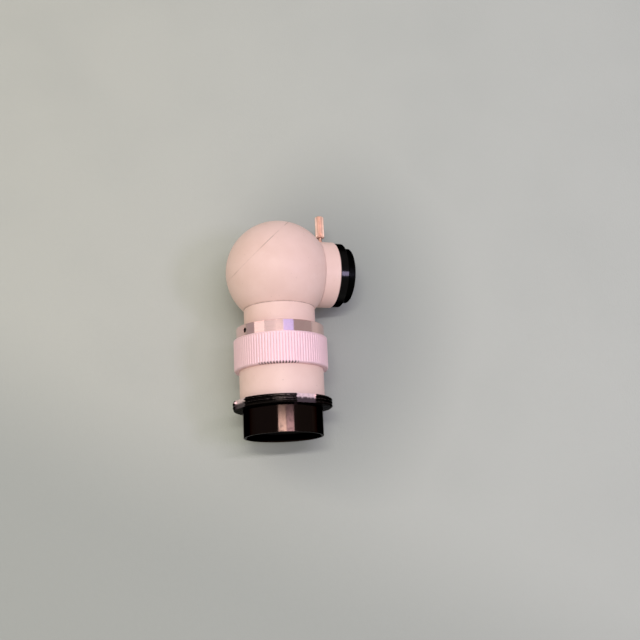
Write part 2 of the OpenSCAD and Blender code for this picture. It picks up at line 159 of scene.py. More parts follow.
def build(name, points, faces):
    mesh = bpy.data.meshes.new(name)
    mesh.from_pydata(points, [], faces)
    made = bpy.data.objects.new(name, mesh)
    bpy.context.scene.collection.objects.link(made)
    return made


def turned(name, line, profile, angles=None):
    """Closed solid from a closed (station, radius) profile, or a function of the angle for one."""
    angles = angles or around(ROUND_SEGMENTS)
    shape = profile if callable(profile) else lambda angle: profile
    rings = [[line.point(t, r, angle) for t, r in shape(angle)] for angle in angles]
    width = len(rings[0])
    points = [point for ring in rings for point in ring]
    faces = []
    for i in range(len(rings) - 1):
        for j in range(width):
            k = (j + 1) % width
            faces.append((i * width + j, i * width + k, (i + 1) * width + k, (i + 1) * width + j))
    made = build(name, points, faces)
    weld(made)
    return made


WELD_REACH = 0.4e-6


def weld(made):
    """Joins corners that lie on each other, drops faces without area, and turns faces outward."""
    work = bmesh.new()
    work.from_mesh(made.data)
    bmesh.ops.remove_doubles(work, verts=work.verts, dist=WELD_REACH)
    bmesh.ops.dissolve_degenerate(work, edges=work.edges, dist=WELD_REACH / 10)
    bmesh.ops.recalc_face_normals(work, faces=work.faces)
    work.to_mesh(made.data)
    work.free()


def rod_between(name, line, low, high, radius, segments):
    """Solid rod on a line between two stations."""
    profile = [(low, 0), (low, radius), (high, radius), (high, 0)]
    return turned(name, line, profile, around(segments))


def box(name, centre, axes, sizes):
    """Box about a centre, with its sides along three axes."""
    corners = []
    for i in (-0.5, 0.5):
        for j in (-0.5, 0.5):
            for k in (-0.5, 0.5):
                offset = axes[0] * i * sizes[0] + axes[1] * j * sizes[1] + axes[2] * k * sizes[2]
                corners.append(centre + offset)
    faces = [(0, 1, 3, 2), (4, 6, 7, 5), (0, 4, 5, 1), (2, 3, 7, 6), (0, 2, 6, 4), (1, 5, 7, 3)]
    made = build(name, corners, faces)
    weld(made)
    return made


def combine(made, others, operation):
    """Adds other solids to a piece or takes them out of it, and removes them."""
    for other in others:
        step = made.modifiers.new(operation.lower(), "BOOLEAN")
        step.operation = operation
        step.solver = "EXACT"
        step.object = other
    apply_steps(made)
    for other in others:
        bpy.data.objects.remove(other)


def apply_steps(made):
    """Turns a piece's modifiers into its mesh."""
    bpy.context.view_layer.update()
    graph = bpy.context.evaluated_depsgraph_get()
    whole = bpy.data.meshes.new_from_object(made.evaluated_get(graph))
    made.modifiers.clear()
    made.data = whole
    weld(made)


def off_line(line, face):
    """Distance of a face's middle from a line."""
    offset = face.center - line.origin
    return (offset - line.along * offset.dot(line.along)).length


def inside_of(line, radius):
    """Test that is true on faces nearer to a line than a radius."""
    return lambda face: off_line(line, face) < radius


SHARP_ANGLE = math.radians(32)


def dress(made, body, nodes, skin, second=None, second_where=None):
    """Shades a piece, sets its materials and its body, and hides the CAD nodes it stands for."""
    mesh = made.data
    mesh.materials.clear()
    mesh.materials.append(skin)
    if second:
        mesh.materials.append(second)
        for face in mesh.polygons:
            face.material_index = 1 if second_where(face) else 0
    mesh.shade_smooth()
    mesh.set_sharp_from_angle(angle=SHARP_ANGLE)
    even = made.modifiers.new("even_normals", "WEIGHTED_NORMAL")
    even.keep_sharp = True
    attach(made, body)
    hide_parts(*nodes)


# ---- Material helpers ----


class Skin:
    """A node material under construction, with short names for the nodes it uses."""

    def __init__(self, name):
        self.material = bpy.data.materials.new(name)
        self.material.use_nodes = True
        self.tree = self.material.node_tree
        self.tree.nodes.clear()
        self.shader = self.tree.nodes.new("ShaderNodeBsdfPrincipled")
        output = self.tree.nodes.new("ShaderNodeOutputMaterial")
        self.tree.links.new(self.shader.outputs["BSDF"], output.inputs["Surface"])
        self.place = self.add("ShaderNodeTexCoord").outputs["Object"]

    def add(self, kind, inputs=None, **settings):
        made = self.tree.nodes.new(kind)
        for key, value in settings.items():
            setattr(made, key, value)
        for key, value in (inputs or {}).items():
            self.put(made.inputs[key], value)
        return made

    def put(self, socket_in, value):
        if isinstance(value, bpy.types.NodeSocket):
            self.tree.links.new(value, socket_in)
        else:
            socket_in.default_value = value

    def set(self, **values):
        """Sets the shader's own sockets; an underscore stands for a space in a socket's name."""
        for key, value in values.items():
            self.put(self.shader.inputs[key.replace("_", " ")], value)

    def maths(self, operation, a, b=0.0):
        return self.add("ShaderNodeMath", {0: a, 1: b}, operation=operation).outputs[0]

    def times(self, a, b):
        return self.maths("MULTIPLY", a, b)

    def larger(self, a, b):
        return self.maths("MAXIMUM", a, b)

    def vectors(self, operation, a, b=(0, 0, 0)):
        return self.add("ShaderNodeVectorMath", {0: a, 1: tuple(b)}, operation=operation)

    def scaled(self, stretch, origin=(0, 0, 0)):
        """Place counted from an origin and stretched along each axis."""
        shifted = self.vectors("SUBTRACT", self.place, origin)
        return self.vectors("MULTIPLY", shifted.outputs[0], stretch).outputs[0]

    def noise(self, size, detail, roughness, vector=None):
        """Noise from 0 to 1 with patches about this size across."""
        settings = {"Scale": 1 / size, "Detail": detail, "Roughness": roughness}
        made = self.add("ShaderNodeTexNoise", {"Vector": vector or self.place, **settings})
        return made.outputs["Fac"]

    def remap(self, value, low, high, to_low=0.0, to_high=1.0):
        """Value brought smoothly from one range to another, and held at its ends."""
        ends = {"From Min": low, "From Max": high, "To Min": to_low, "To Max": to_high}
        made = self.add(
            "ShaderNodeMapRange", {"Value": value, **ends}, interpolation_type="SMOOTHSTEP"
        )
        return made.outputs[0]

    def patches(self, size, detail, roughness, low, high, to_low=0.0, to_high=1.0):
        """Noise of a size, with the part of its range from low to high brought to another range."""
        return self.remap(self.noise(size, detail, roughness), low, high, to_low, to_high)

    def blend(self, share, a, b):
        made = self.add("ShaderNodeMix", data_type="RGBA")
        self.put(made.inputs["Factor"], share)
        self.put(made.inputs[6], a)
        self.put(made.inputs[7], b)
        return made.outputs[2]

    def along(self, origin, direction):
        """Distance from a point along a direction."""
        shifted = self.vectors("SUBTRACT", self.place, origin)
        return self.vectors("DOT_PRODUCT", shifted.outputs[0], direction).outputs["Value"]

    def from_line(self, line):
        """Distance from a line."""
        shifted = self.vectors("SUBTRACT", self.place, line.origin)
        cross = self.vectors("CROSS_PRODUCT", shifted.outputs[0], line.along)
        return self.length(cross.outputs[0])

    def length(self, vector):
        return self.vectors("LENGTH", vector).outputs["Value"]

    def near(self, value, target, reach):
        """1 where value is at target, falling to 0 at reach from it."""
        off = self.maths("ABSOLUTE", self.maths("SUBTRACT", value, target))
        return self.remap(off, 0.0, reach, 1.0, 0.0)

    def bump(self, *layers):
        """Sets the shader's normal from bump layers of (height, depth)."""
        normal = None
        for height, depth in layers:
            settings = {"Height": height, "Strength": 1.0, "Distance": depth}
            made = self.add("ShaderNodeBump", settings)
            if normal:
                self.put(made.inputs["Normal"], normal)
            normal = made.outputs["Normal"]
        self.put(self.shader.inputs["Normal"], normal)


def colour(red, green, blue):
    return (red, green, blue, 1.0)


def turned_lines(skin, line, size):
    """Noise that is constant round a line and changes quickly along it, as a lathe tool leaves."""
    far = skin.from_line(line)
    station = skin.along(line.origin, line.along)
    both = skin.add("ShaderNodeCombineXYZ", {"X": station, "Y": far, "Z": 0.0}).outputs[0]
    return skin.noise(size, 2.0, 0.6, both)


PAINT = colour(0.84, 0.628, 0.568)
PAINT_SHADE = colour(0.79, 0.578, 0.512)
GRIME = colour(0.20, 0.125, 0.085)
CHALK = colour(0.87, 0.68, 0.63)
SEAM_GRIME = 0.4 * MM
NECK_GRIME = 0.9 * MM
PORT_GRIME = 0.8 * MM
JOINT_SHARE = 0.55
GRIME_SHARE = 0.5
CHALK_SHARE = 0.35


def paint_skin():
    """Satin enamel: orange peel, faint clouds, rubbed patches, and grime in seam and joints."""
    skin = Skin("satin_paint")
    cloud = skin.patches(22 * MM, 3.0, 0.55, 0.3, 0.7)
    rub = skin.patches(9 * MM, 5.0, 0.68, 0.58, 0.72)
    base = skin.blend(cloud, PAINT, PAINT_SHADE)
    base = skin.blend(skin.times(rub, CHALK_SHARE), base, CHALK)
    seam = skin.near(skin.along(BALL_CENTRE, CAP.along), SEAM, SEAM_GRIME)
    neck = skin.near(skin.along((0, NECK_TOP, 0), UP_TUBE), 0.0, NECK_GRIME)
    port = skin.near(skin.along(BALL_CENTRE, OUT_PORT), PORT_LAND, PORT_GRIME)
    creases = skin.larger(seam, skin.times(skin.larger(neck, port), JOINT_SHARE))
    patchy = skin.patches(14 * MM, 3.0, 0.6, 0.40, 0.60, 0.1, 1.0)
    dots = skin.patches(1.3 * MM, 2.0, 0.5, 0.72, 0.78, 0.0, 0.35)
    dirt = skin.larger(skin.times(skin.times(creases, patchy), GRIME_SHARE), dots)
    skin.set(
        Base_Color=skin.blend(dirt, base, GRIME),
        Roughness=skin.remap(rub, 0.0, 1.0, 0.44, 0.56),
        Specular_IOR_Level=0.33,
    )
    peel = skin.noise(0.85 * MM, 2.0, 0.45)
    swell = skin.noise(5 * MM, 2.0, 0.5)
    skin.bump((peel, 0.012 * MM), (swell, 0.03 * MM))
    return skin.material


def metal_skin(name, line, tone, shade, roughness, lines_depth, tarnish=0.35):
    """Turned metal: tool lines round a line, cloudy tarnish and small dull spots."""
    skin = Skin(name)
    cloud = skin.patches(7 * MM, 4.0, 0.6, 0.35, 0.75)
    spots = skin.patches(0.9 * MM, 3.0, 0.6, 0.62, 0.72)
    lines = turned_lines(skin, line, 0.11 * MM)
    wide_lines = turned_lines(skin, line, 0.6 * MM)
    darkening = skin.times(skin.larger(cloud, spots), tarnish)
    polish = skin.remap(wide_lines, 0.3, 0.7, roughness * 0.8, roughness * 1.2)
    skin.set(
        Base_Color=skin.blend(darkening, tone, shade),
        Metallic=1.0,
        Roughness=skin.maths("ADD", polish, skin.times(spots, 0.15)),
    )
    skin.bump((lines, lines_depth), (wide_lines, lines_depth * 1.5))
    return skin.material


KNURL_METAL = colour(0.98, 0.77, 0.81)
KNURL_SHADE = colour(0.94, 0.72, 0.78)
# Dark colour of the faint grime in the grooves and of the painted shade at the ring's foot.
KNURL_GRIME_AND_SHADE = colour(0.045, 0.025, 0.028)
# Turn about the tube, reach round it and height of the painted shade at the ring's foot.
SHADE_TURN = math.radians(-110)
SHADE_REACH = (0.36, 0.50)
SHADE_HEIGHT = 1.6 * MM
FAINT_GRIME = 0.12


def knurl_skin():
    """Satin aluminium: tool lines, tarnish, faint grime in the grooves, and painted shade in the grooves at one
    low place.
    """
    skin = Skin("knurled_band")
    outer = TUBE.radii("focus_ring")[1]
    far = skin.from_line(TUBE)
    crest = outer - 0.15 * KNURL_DEPTH
    groove = skin.remap(far, outer - KNURL_DEPTH, crest, 1.0, 0.0)
    cloud = skin.patches(6 * MM, 4.0, 0.6, 0.35, 0.75)
    patchy = skin.patches(2.5 * MM, 3.0, 0.6, 0.3, 0.7, 0.55, 1.0)
    lines = turned_lines(skin, TUBE, 0.12 * MM)
    station = skin.along(TUBE.origin, TUBE.along)
    # The next lines paint shade into the grooves along the lower edge, on one side of the ring.
    foot = skin.near(station, TUBE.span("focus_ring")[0], SHADE_HEIGHT)
    across = skin.along(TUBE.origin, TUBE.side)
    turn = skin.maths("ARCTAN2", across, skin.along(TUBE.origin, TUBE.zero))
    phase = skin.maths("FRACT", skin.times(turn, KNURL_RIBS / FULL_TURN))
    wave = skin.maths("ABSOLUTE", skin.maths("SUBTRACT", skin.times(phase, 2.0), 1.0))
    off_shade_turn = skin.maths("ABSOLUTE", skin.maths("SUBTRACT", turn, SHADE_TURN))
    painted_shade = skin.times(skin.remap(wave, 0.35, 0.7), skin.remap(off_shade_turn, *SHADE_REACH, 1.0, 0.0))
    painted_shade = skin.times(painted_shade, foot)
    grime_and_shade = skin.larger(skin.times(groove, skin.times(patchy, FAINT_GRIME)), painted_shade)
    base = skin.blend(skin.times(cloud, 0.5), KNURL_METAL, KNURL_SHADE)
    base = skin.blend(grime_and_shade, base, KNURL_GRIME_AND_SHADE)
    skin.set(Base_Color=base, Metallic=1.0, Roughness=skin.remap(lines, 0.3, 0.7, 0.68, 0.76))
    skin.bump((lines, 0.004 * MM))
    return skin.material


SMEAR = colour(0.005, 0.0045, 0.005)
DUST = colour(0.10, 0.085, 0.08)
WORN_METAL = colour(0.40, 0.33, 0.32)
EDGE_TINT = colour(0.2, 0.2, 0.2)
SMEAR_SHARE = 0.25
DUST_SHARE = 0.04
WORN_SHARE = 0.16


def black_skin(name, line, roughness, sheen, wear=None):
    """Black oxide that mirrors in its own dark sheen, with turned lines, dust and smears.

    wear is a radius and a reach: bare metal shows in patches from that reach inside the radius on.
    """
    skin = Skin(name)
    smear = skin.patches(6 * MM, 5.0, 0.65, 0.45, 0.75)
    dust = skin.patches(0.5 * MM, 3.0, 0.6, 0.70, 0.78)
    lines = turned_lines(skin, line, 0.16 * MM)
    base = skin.blend(skin.times(smear, SMEAR_SHARE), sheen, SMEAR)
    base = skin.blend(skin.times(dust, DUST_SHARE), base, DUST)
    rough = skin.remap(smear, 0.0, 1.0, roughness, roughness * 1.7)
    if wear:
        radius, reach = wear
        far = skin.remap(skin.from_line(line), radius - reach, radius)
        rubbed = skin.patches(1.6 * MM, 4.0, 0.7, 0.46, 0.62)
        bare = skin.times(far, rubbed)
        base = skin.blend(skin.times(bare, WORN_SHARE), base, WORN_METAL)
        rough = skin.maths("ADD", rough, skin.times(bare, 0.1))
    skin.set(Base_Color=base, Metallic=1.0, Roughness=rough, Specular_Tint=EDGE_TINT)
    skin.bump((lines, 0.0009 * MM), (skin.noise(0.7 * MM, 3.0, 0.6), 0.002 * MM))
    return skin.material


NOTCH_METAL = colour(0.92, 0.72, 0.72)
NOTCH_SCUFF = colour(0.50, 0.40, 0.42)
# Colour of the painted shade low in the notches.
NOTCH_PAINTED_SHADE = colour(0.026, 0.015, 0.021)


def bare_notch_skin():
    """Milled aluminium in the notches with cutter marks, bright near the top, and purple black below from painted
    shade.
    """
    skin = Skin("milled_notch")
    low, high = rim_low(), TUBE.span("thread_flange")[1]
    marks = skin.noise(0.35 * MM, 2.0, 0.5, skin.scaled((0.25, 1.0, 0.25)))
    scuff = skin.patches(1.8 * MM, 4.0, 0.7, 0.42, 0.66)
    # Painted shade that darkens the notch floor towards the rim's lower face.
    lower = skin.remap(skin.along(TUBE.origin, TUBE.along), low, high, 1.0, 0.0)
    ragged = skin.maths("SUBTRACT", lower, skin.times(scuff, 0.3))
    darkening = skin.remap(ragged, 0.12, 0.5, 0.0, 0.95)
    base = skin.blend(skin.times(scuff, 0.5), NOTCH_METAL, NOTCH_SCUFF)
    base = skin.blend(darkening, base, NOTCH_PAINTED_SHADE)
    skin.set(Base_Color=base, Metallic=0.7, Roughness=skin.remap(scuff, 0.0, 1.0, 0.40, 0.6))
    skin.bump((marks, 0.02 * MM), (scuff, 0.015 * MM))
    return skin.material


INSIDE_BLACK = colour(0.0040, 0.0040, 0.0042)
INSIDE_GREY = colour(0.0085, 0.0085, 0.0085)


def flat_black_skin():
    """Matt black against stray light inside the ball and the tubes, with fine grain."""
    skin = Skin("anti_glare_black")
    grain = skin.noise(0.35 * MM, 3.0, 0.6)
    cloud = skin.patches(8 * MM, 3.0, 0.5, 0.3, 0.7)
    skin.set(
        Base_Color=skin.blend(cloud, INSIDE_BLACK, INSIDE_GREY),
        Roughness=skin.remap(grain, 0.3, 0.7, 0.72, 0.9),
        Specular_IOR_Level=0.15,
    )
    skin.bump((grain, 0.03 * MM))
    return skin.material


CLEAR_GLASS = colour(0.96, 0.98, 0.99)
HAZED_GLASS = colour(0.90, 0.94, 0.97)
GLASS_COAT = colour(0.72, 0.80, 1.0)
CROWN_INDEX = 1.52


def glass_skin():
    """Coated lens glass with a little dust."""
    skin = Skin("coated_glass")
    dust = skin.patches(0.6 * MM, 3.0, 0.6, 0.68, 0.8)
    haze = skin.patches(9 * MM, 3.0, 0.5, 0.4, 0.8)
    skin.set(
        Base_Color=skin.blend(haze, CLEAR_GLASS, HAZED_GLASS),
        Roughness=skin.remap(dust, 0.0, 1.0, 0.015, 0.25),
        Transmission_Weight=1.0,
        IOR=CROWN_INDEX,
        Coat_Weight=0.4,
        Coat_Tint=GLASS_COAT,
    )
    skin.bump((skin.noise(14 * MM, 2.0, 0.5), 0.004 * MM))
    return skin.material


SILVER = colour(0.93, 0.93, 0.94)
SMEARED_SILVER = colour(0.85, 0.86, 0.88)


def mirror_skin():
    """Silvered front with faint smears."""
    skin = Skin("silvered_glass")
    smear = skin.patches(5 * MM, 4.0, 0.65, 0.5, 0.75)
    skin.set(
        Base_Color=skin.blend(smear, SILVER, SMEARED_SILVER),
        Metallic=1.0,
        Roughness=skin.remap(smear, 0.0, 1.0, 0.02, 0.09),
    )
    skin.bump((skin.noise(11 * MM, 2.0, 0.5), 0.002 * MM))
    return skin.material


PLASTIC = colour(0.80, 0.79, 0.76)
PLASTIC_SHADE = colour(0.70, 0.68, 0.64)


def washer_skin():
    """Slippery white plastic with a faint moulded grain."""
    skin = Skin("slip_plastic")
    grain = skin.noise(0.4 * MM, 3.0, 0.5)
    cloud = skin.patches(5 * MM, 2.0, 0.5, 0.3, 0.7)
    skin.set(
        Base_Color=skin.blend(cloud, PLASTIC, PLASTIC_SHADE),
        Roughness=skin.remap(grain, 0.3, 0.7, 0.42, 0.58),
    )
    skin.bump((grain, 0.01 * MM))
    return skin.material


# ---- Ball housing ----

SEAM_LIP = 0.14 * MM
LIP_STEPS = 4
SPHERE_STEPS = 96
BALL_SEGMENTS = 256

# Radius on the cap's boss that lies outside its screw holes.
PAST_SCREWS = 8 * MM


def sphere_arc(radius, from_station, to_station, steps):
    """Points on a sphere about the ball's centre, between two stations on a line through it."""
    start = math.acos(max(-1.0, min(1.0, from_station / radius)))
    end = math.acos(max(-1.0, min(1.0, to_station / radius)))
    turns = [start + (end - start) * i / steps for i in range(steps + 1)]
    return [(radius * math.cos(turn), radius * math.sin(turn)) for turn in turns]


def seam_lip(side):
    """Rounded edge of a shell at the seam, from its outer face to the seam's plane.

    side is -1 on the shell below the seam and 1 on the one above it.
    """
    edge = math.acos(SEAM / BALL_R)
    arc = []
    for step in range(LIP_STEPS + 1):
        turn = step / LIP_STEPS * math.pi / 2
        station = SEAM + side * SEAM_LIP * (1 - math.sin(turn))
        sink = SEAM_LIP * (1 - math.cos(turn))
        radius = math.sqrt(BALL_R**2 - station**2) - sink * math.sin(edge)
        arc.append((station, radius))
    return arc


def ball_body(skin, inner):
    outer = sphere_arc(BALL_R, -BALL_R, SEAM - SEAM_LIP, SPHERE_STEPS)
    inside = sphere_arc(CAVITY_R, SEAM - BALL_WALL, -CAVITY_R, SPHERE_STEPS // 2)
    spigot = inside[0][1]
    profile = outer + seam_lip(-1) + [(SEAM, spigot)] + inside
    made = turned("ball_body_shell", CAP, profile, around(BALL_SEGMENTS))
    neck_land = BALL_CENTRE.y - NECK_TOP
    neck_hole = TUBE.radii("ball_body", NECK_TOP)[0]
    port_hole = PORT.radii("ball_body", PORT_LAND)[0]
    down_neck = Line(BALL_CENTRE, -UP_TUBE, OUT_PORT)
    far = BALL_R + BALL_WALL
    cutters = []
    for line, land, hole in ((down_neck, neck_land, neck_hole), (PORT, PORT_LAND, port_hole)):
        plug = [(0, 0), (0, hole), (land, hole), (land, far), (far, far), (far, 0)]
        cutters.append(turned("hole", line, plug, around(BALL_SEGMENTS // 2)))
    combine(made, cutters, "DIFFERENCE")
    dress(made, "head", ["ball_body"], skin, inner, under_skin)


def under_skin(face):
    """True on faces of the ball's shells that lie under their outer skin."""
    return (face.center - BALL_CENTRE).length < BALL_R - 3 * SEAM_LIP


def ball_cap(skin, inner):
    low = CAP.span("ball_cap")[0]
    spigot = max(radius for station, radius in CAP.places("ball_cap") if station < SEAM - SEAM_LIP)
    outer = sphere_arc(BALL_R, BALL_R, SEAM + SEAM_LIP, SPHERE_STEPS // 2)
    inside = sphere_arc(CAVITY_R, SEAM, CAVITY_R, SPHERE_STEPS // 4)
    mouth = inside[0][1]
    profile = outer + seam_lip(1) + [(SEAM, spigot), (low, spigot), (low, mouth)] + inside
    made = turned("ball_cap_shell", CAP, profile, around(BALL_SEGMENTS))
    boss_low = CAP.span("mirror_cell")[1]
    boss_high = (BALL_R + CAVITY_R) / 2
    face_radii = [r for t, r in CAP.places("ball_cap") if abs(t - boss_low) < SAME]
    boss_r = min(radius for radius in face_radii if radius > PAST_SCREWS)
    boss = rod_between("cap_boss", CAP, boss_low, boss_high, boss_r, ROUND_SEGMENTS)
    combine(made, [boss], "UNION")
    dress(made, "head", ["ball_cap"], skin, inner, under_skin)


# ---- Neck and its rings ----

EDGE_FILLET = 0.1 * MM
NECK_LIP = 0.35 * MM


def neck_tube(skin, inner):
    low, high = TUBE.span("neck_tube")
    bore, outer = TUBE.radii("neck_tube", low)
    spigot = TUBE.radii("neck_tube", high)[1]
    profile = rounded([
        (low, bore, 0), (low, outer, EDGE_FILLET), (NECK_TOP, outer, NECK_LIP),
        (NECK_TOP, spigot, 0), (high, spigot, EDGE_FILLET), (high, bore, 0),
    ])
    made = turned("neck_barrel", TUBE, profile)
    where = inside_of(TUBE, spigot)
    dress(made, "head", ["neck_tube"], skin, inner, where)


def screw_way(corners):
    """Middle of a radial screw's corners, and the direction from the tube's axis out to it."""
    middle = sum(corners, Vector()) / len(corners)
    return middle, Vector((middle.x, 0, middle.z)).normalized()


RING_BEVEL = 0.16 * MM
RING_FILLET = 0.06 * MM
SCREW_SINK = 0.25 * MM
HOLE_SEGMENTS = 48


def stop_ring(skin):
    low, high = TUBE.span("stop_ring")
    bore, outer = TUBE.radii("stop_ring")
    face = outer - RING_BEVEL
    profile = rounded([
        (low, bore, 0), (low, face, RING_FILLET), (low + RING_BEVEL, outer, RING_FILLET),
        (high - RING_BEVEL, outer, RING_FILLET), (high, face, RING_FILLET), (high, bore, 0),
    ], 2)
    made = turned("stop_ring_band", TUBE, profile)
    holes = []
    screws = frame["nodes"]["stop_ring_screws"].data.vertices
    for side in (-1, 1):
        corners = [vertex.co for vertex in screws if side * vertex.co.x > 0]
        middle, out = screw_way(corners)
        arms = [corner - middle for corner in corners]
        radius = max((arm - out * arm.dot(out)).length for arm in arms)
        wide = radius + 2 * SCREW_SINK
        foot = bore - SCREW_SINK
        shape = [
            (foot, 0), (foot, radius), (outer - SCREW_SINK, radius),
            (outer + SCREW_SINK, wide), (outer + bore, wide), (outer + bore, 0),
        ]
        line = Line((0, middle.y, 0), out, UP_TUBE)
        holes.append(turned("hole", line, shape, around(HOLE_SEGMENTS)))
    combine(made, holes, "DIFFERENCE")
    dress(made, "head", ["stop_ring"], skin)


def rib_wave(angle, ribs):
    """0 in the middle of a rib and 1 in the middle of a groove, at an angle about the part."""
    return abs(2 * ((angle * ribs / FULL_TURN) % 1.0) - 1)


KNURL_RIBS = 97
KNURL_DEPTH = 0.32 * MM
KNURL_STEPS = 8
CREST_SHARE = 0.45
LOWER_CHAMFER = (1.0 * MM, 0.55 * MM)
UPPER_BAND = 0.75 * MM
GROOVE_END = 0.5 * MM
BAND_LIP = 0.15 * MM
BORE_BEVEL = 0.2 * MM
GROOVE_CURVE = 1.2
RUN_OUT_CURVE = 0.5
CHAMFER_CURVE = 1.3
CHAMFER_STEPS = 8
GROOVE_STEPS = 6
END_STEPS = 4


def knurl_profile(low, high, outer, inner_steps):
    """Function of the angle that gives the focus ring's profile.

    The grooves run out through the lower chamfer and stop under the upper band.
    """
    wide, deep = LOWER_CHAMFER
    band = high - UPPER_BAND
    plain = band - GROOVE_END - low - wide
    stations = [low + wide * i / CHAMFER_STEPS for i in range(CHAMFER_STEPS + 1)]
    stations += [low + wide + plain * i / GROOVE_STEPS for i in range(1, GROOVE_STEPS + 1)]
    stations += [band - GROOVE_END * (1 - i / END_STEPS) for i in range(1, END_STEPS + 1)]

    def shape(angle):
        wave = rib_wave(angle, KNURL_RIBS)
        groove = max(0.0, (wave - CREST_SHARE) / (1 - CREST_SHARE)) ** GROOVE_CURVE
        points = []
        for t in stations:
            fade = min(1.0, max(0.0, (band - t) / GROOVE_END)) ** RUN_OUT_CURVE
            slope = outer - deep * (1 - min(1.0, (t - low) / wide)) ** CHAMFER_CURVE
            points.append((t, min(slope, outer - KNURL_DEPTH * groove * fade)))
        near = 0.3 * BAND_LIP
        points += [(high - BAND_LIP, outer), (high - near, outer - near), (high, outer - BAND_LIP)]
        return points + inner_steps

    return shape


def focus_ring(skin):
    low, high = TUBE.span("focus_ring")
    neck_bore, outer = TUBE.radii("focus_ring")
    wide_bore = TUBE.radii("focus_ring", low)[0]
    web = [t for t, r in TUBE.places("focus_ring") if r < neck_bore + NEARLY]
    web_low, web_high = min(web), max(web)
    recess = TUBE.radii("focus_ring", high)[0]
    inner_steps = [
        (high, recess), (web_high, recess), (web_high, neck_bore), (web_low, neck_bore),
        (web_low, wide_bore), (low + BORE_BEVEL, wide_bore), (low, wide_bore + BORE_BEVEL),
    ]
    shape = knurl_profile(low, high, outer, inner_steps)
    made = turned("focus_ring_knurl", TUBE, shape, around(KNURL_RIBS * KNURL_STEPS))
    dress(made, "focus_ring", ["focus_ring"], skin)


# ---- Focusing tube, flange and nosepiece ----

TUBE_FILLET = 0.2 * MM
OVER_CELL = 0.2 * MM


def focus_tube(skin, inner):
    low, high = TUBE.span("focus_tube")
    foot = TUBE.span("thread_flange")[1]
    foot_bore, spigot = TUBE.radii("focus_tube", low)
    bore, outer = TUBE.radii("focus_tube", high)
    shoulder = TUBE.span("lens_cell")[1] + OVER_CELL
    profile = rounded([
        (low, foot_bore, 0), (low, spigot, 0), (foot, spigot, 0), (foot, outer, TUBE_FILLET),
        (high, outer, TUBE_FILLET), (high, bore, 0), (shoulder, bore, 0), (shoulder, foot_bore, 0),
    ])
    made = turned("focusing_barrel", TUBE, profile)
    middle, out = screw_way([vertex.co for vertex in frame["nodes"]["guide_screw"].data.vertices])
    line = Line((0, middle.y, 0), out, UP_TUBE)
    shank_low = line.span("guide_screw")[0]
    head_r = line.radii("guide_screw")[1]
    shank_r = line.radii("guide_screw", shank_low)[1]
    head_low = min(t for t, r in line.places("guide_screw") if r > head_r - NEARLY)
    shape = [
        (shank_low, 0), (shank_low, shank_r), (head_low, shank_r), (head_low, head_r),
        (outer + head_r, head_r), (outer + head_r, 0),
    ]
    combine(made, [turned("hole", line, shape, around(HOLE_SEGMENTS))], "DIFFERENCE")
    where = inside_of(TUBE, spigot)
    dress(made, "focus_tube", ["focus_tube"], skin, inner, where)


TOOTH_FOOT = 0.44
TOOTH_FLANK = 0.36


def thread_wave(phase):
    """Height of a thread's tooth, 0 at its root and 1 at its crest, at a phase from 0 to 1."""
    off = abs((phase % 1.0) - 0.5)
    return min(1.0, max(0.0, (TOOTH_FOOT - off) / TOOTH_FLANK))


THREAD_PHASES = (0.06, 0.15, 0.24, 0.33, 0.42, 0.5, 0.58, 0.67, 0.76, 0.85, 0.94, 1.0)


def thread_points(angle, low, high, pitch, root, crest, bevel):
    """(station, radius) points of a helical thread at an angle.

    The crest lies outside the root on a bolt and inside it on a nut.
    """
    points = []
    shift = angle / FULL_TURN
    depth = abs(crest - root)
    outward = 1 if crest > root else -1
    for turn in range(-2, math.ceil((high - low) / pitch) + 1):
        for phase in THREAD_PHASES:
            station = low + (turn + phase + shift) * pitch
            station = min(high, max(low, station))
            height = depth * thread_wave((station - low) / pitch - shift)
            edge = min(station - low, high - station)
            limit = depth - max(0.0, bevel - edge)
            points.append((station, root + outward * max(0.0, min(height, limit))))
    return points


FLANGE_PITCH = 2 * MM
FLANGE_SEGMENTS = 288
NOTCHES = 4
NOTCH_WIDTH = 13.4 * MM
NOTCH_DEPTH = 2 * MM
NOTCH_TURN = math.radians(12.5)
RIM_BEVEL = 0.7 * MM


def rim_low():
    """Station of the lower face of the flange's threaded rim, where the nosepiece's spigot ends."""
    return TUBE.span("nosepiece")[1]


def notch_ways():
    """For each notch its turn about the tube, and the directions out and across it."""
    ways = []
    for i in range(NOTCHES):
        turn = NOTCH_TURN + i * math.pi / 2
        out = TUBE.zero * math.cos(turn) + TUBE.side * math.sin(turn)
        ways.append((turn, out, TUBE.along.cross(out)))
    return ways


def thread_flange(skin, notch_skin):
    """Threaded rim with notches cut through it from end to end."""
    high = TUBE.span("thread_flange")[1]
    foot = rim_low()
    crest = TUBE.radii("thread_flange")[1]
    bore, root = TUBE.radii("thread_flange", high)

    def shape(angle):
        outer = thread_points(angle, foot, high, FLANGE_PITCH, root, crest, RIM_BEVEL)
        return [(foot, bore)] + outer + [(high, bore)]

    made = turned("flange_thread_rim", TUBE, shape, around(FLANGE_SEGMENTS))
    size = (2 * NOTCH_DEPTH, high, NOTCH_WIDTH)
    ways = notch_ways()
    cutters = []
    for turn, out, across in ways:
        centre = TUBE.point(foot + high / 2 - RIM_BEVEL, crest, turn)
        cutters.append(box("notch", centre, (out, TUBE.along, across), size))
    combine(made, cutters, "DIFFERENCE")

    def in_notch(face):
        """True on the flat floors and walls that the notches leave."""
        if face.center.dot(TUBE.along) < foot + SAME:
            return False
        for turn, out, across in ways:
            level = face.center.dot(out) > crest - NOTCH_DEPTH - NEARLY
            if level and abs(face.center.dot(across)) < NOTCH_WIDTH / 2 + SAME:
                return True
        return False

    dress(made, "focus_tube", ["thread_flange"], skin, notch_skin, in_notch)


FILTER_PITCH = 0.75 * MM
FILTER_DEPTH = 0.4 * MM
FILTER_LEAD = 0.5 * MM
MOUTH_FILLET = 0.1 * MM
NOSE_FILLET = 0.35 * MM


